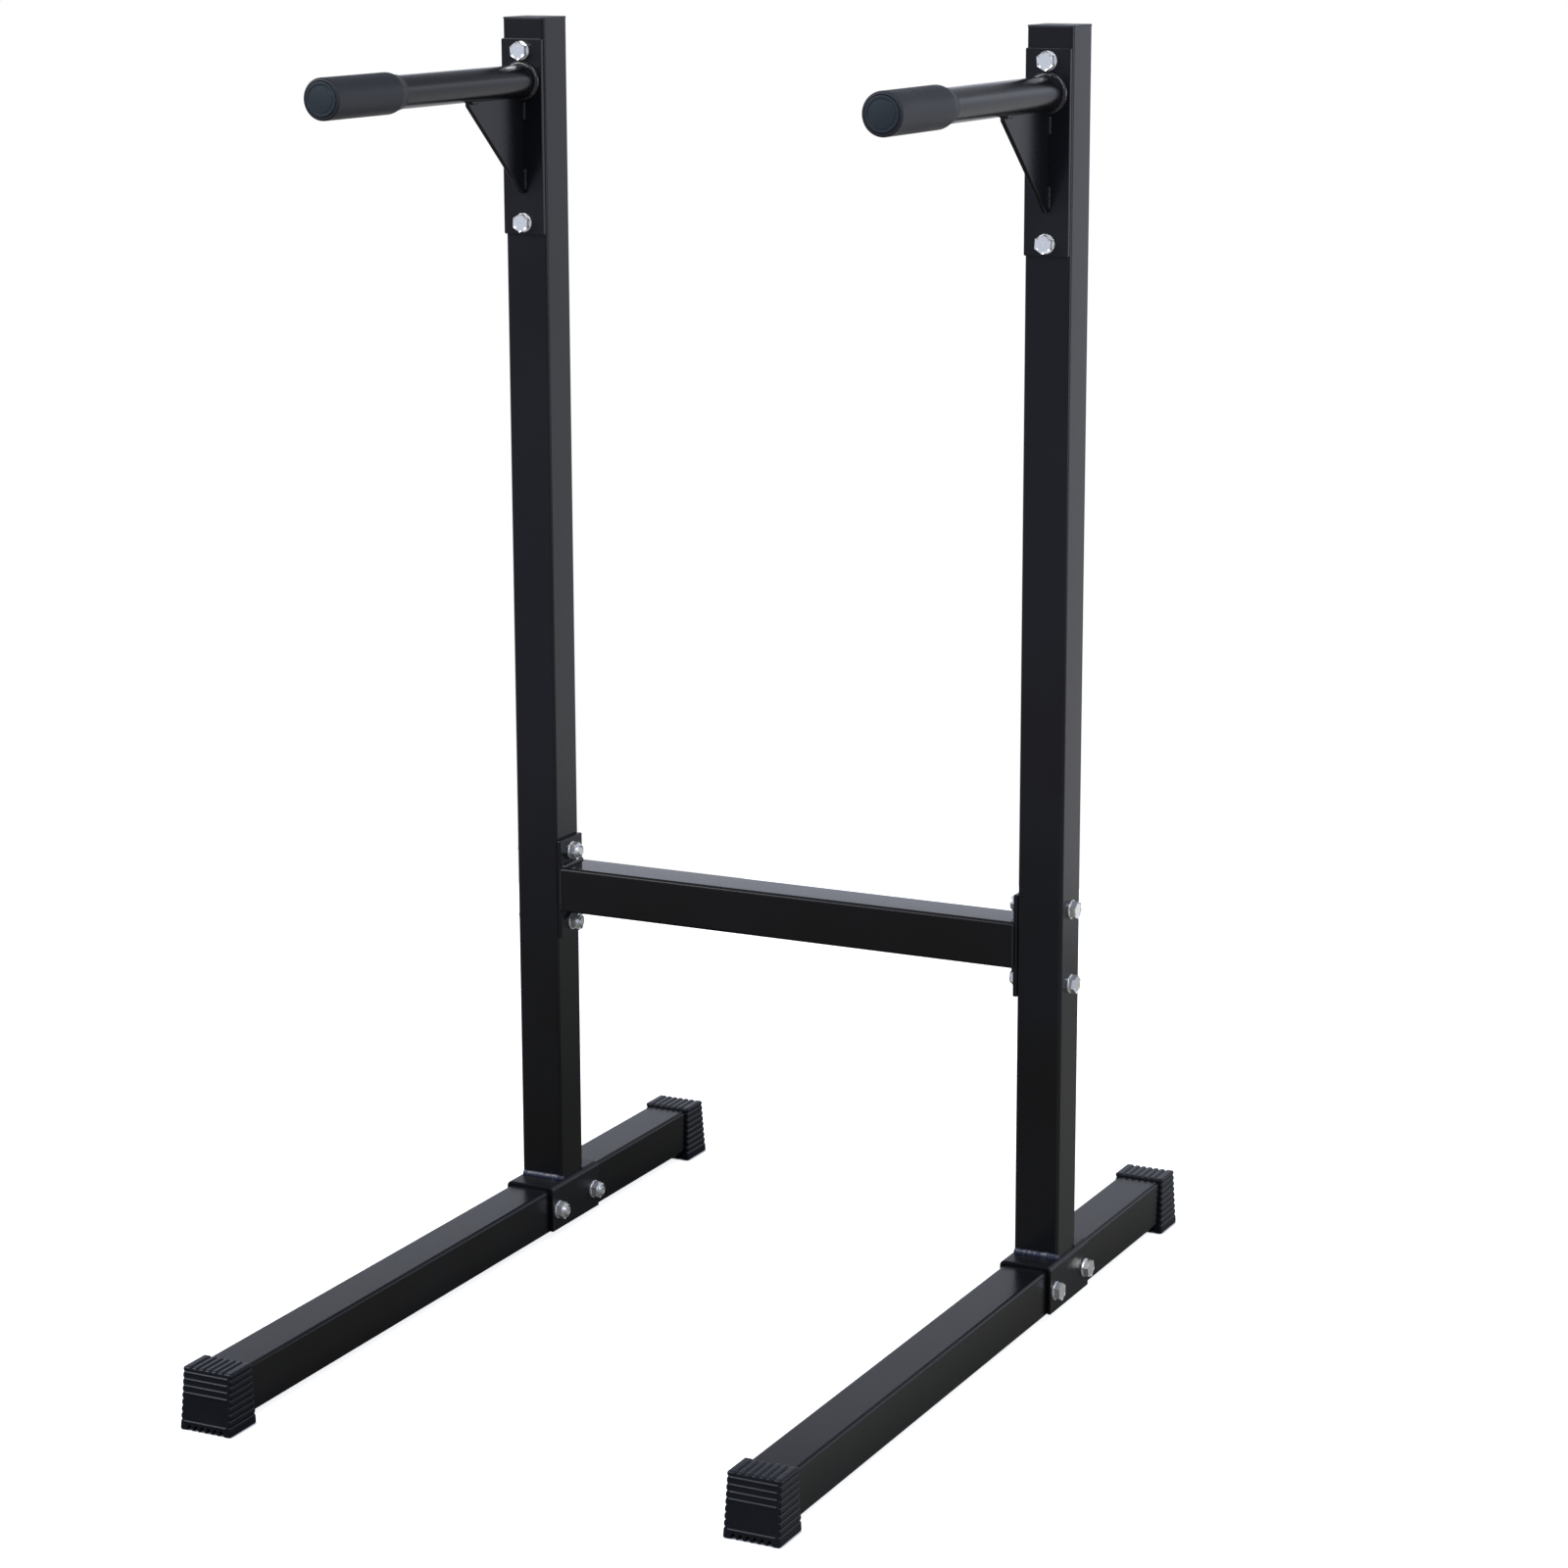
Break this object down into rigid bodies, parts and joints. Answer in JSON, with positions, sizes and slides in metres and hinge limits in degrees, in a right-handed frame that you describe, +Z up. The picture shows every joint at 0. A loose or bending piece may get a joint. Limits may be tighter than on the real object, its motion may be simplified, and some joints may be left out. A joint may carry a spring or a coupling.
{
  "type": "dip station",
  "caption": "Free-standing dip station: square-tube uprights on long capped feet, tied by a crossbar, each with a round rubber-gripped handle pointing forward.",
  "frame": {"origin": "on the floor, in the middle of the footprint", "axes": "+X from the left upright to the right one as a user sees them who faces the crossbar from the handles' side, +Y to the back, away from the handles, +Z up"},
  "size_m": [0.675, 1.0096, 1.3443],
  "materials": {
    "frame_paint": "satin black paint with a fine grain",
    "cap_rubber": "matte, moulded ribs",
    "grip_rubber": "matte, smooth",
    "plug_plastic": "fine satin texture",
    "bolt_zinc": "bright zinc plating"
  },
  "bodies": {
    "root": {"left_upright_tube": "frame_paint", "left_saddle": "frame_paint", "left_foot_tube": "frame_paint", "left_handle_plate": "frame_paint", "left_handle_tube": "frame_paint", "left_handle_gusset": "frame_paint", "left_crossbar_plate": "frame_paint", "right_upright_tube": "frame_paint", "right_saddle": "frame_paint", "right_foot_tube": "frame_paint", "right_handle_plate": "frame_paint", "right_handle_tube": "frame_paint", "right_handle_gusset": "frame_paint", "right_crossbar_plate": "frame_paint", "crossbar_tube": "frame_paint", "left_front_foot_cap": "cap_rubber", "left_rear_foot_cap": "cap_rubber", "right_front_foot_cap": "cap_rubber", "right_rear_foot_cap": "cap_rubber", "left_grip_sleeve": "grip_rubber", "right_grip_sleeve": "grip_rubber", "left_grip_plug": "plug_plastic", "left_top_plug": "plug_plastic", "right_grip_plug": "plug_plastic", "right_top_plug": "plug_plastic", "left_handle_bolt_upper": "bolt_zinc", "left_handle_nut_upper": "bolt_zinc", "left_handle_bolt_lower": "bolt_zinc", "left_handle_nut_lower": "bolt_zinc", "left_crossbar_bolt_upper": "bolt_zinc", "left_crossbar_nut_upper": "bolt_zinc", "left_crossbar_bolt_lower": "bolt_zinc", "left_crossbar_nut_lower": "bolt_zinc", "left_saddle_bolt_rear": "bolt_zinc", "left_saddle_nut_rear": "bolt_zinc", "left_saddle_bolt_front": "bolt_zinc", "left_saddle_nut_front": "bolt_zinc", "right_handle_bolt_upper": "bolt_zinc", "right_handle_nut_upper": "bolt_zinc", "right_handle_bolt_lower": "bolt_zinc", "right_handle_nut_lower": "bolt_zinc", "right_crossbar_bolt_upper": "bolt_zinc", "right_crossbar_nut_upper": "bolt_zinc", "right_crossbar_bolt_lower": "bolt_zinc", "right_crossbar_nut_lower": "bolt_zinc", "right_saddle_bolt_rear": "bolt_zinc", "right_saddle_nut_rear": "bolt_zinc", "right_saddle_bolt_front": "bolt_zinc", "right_saddle_nut_front": "bolt_zinc"}
  },
  "joints": []
}
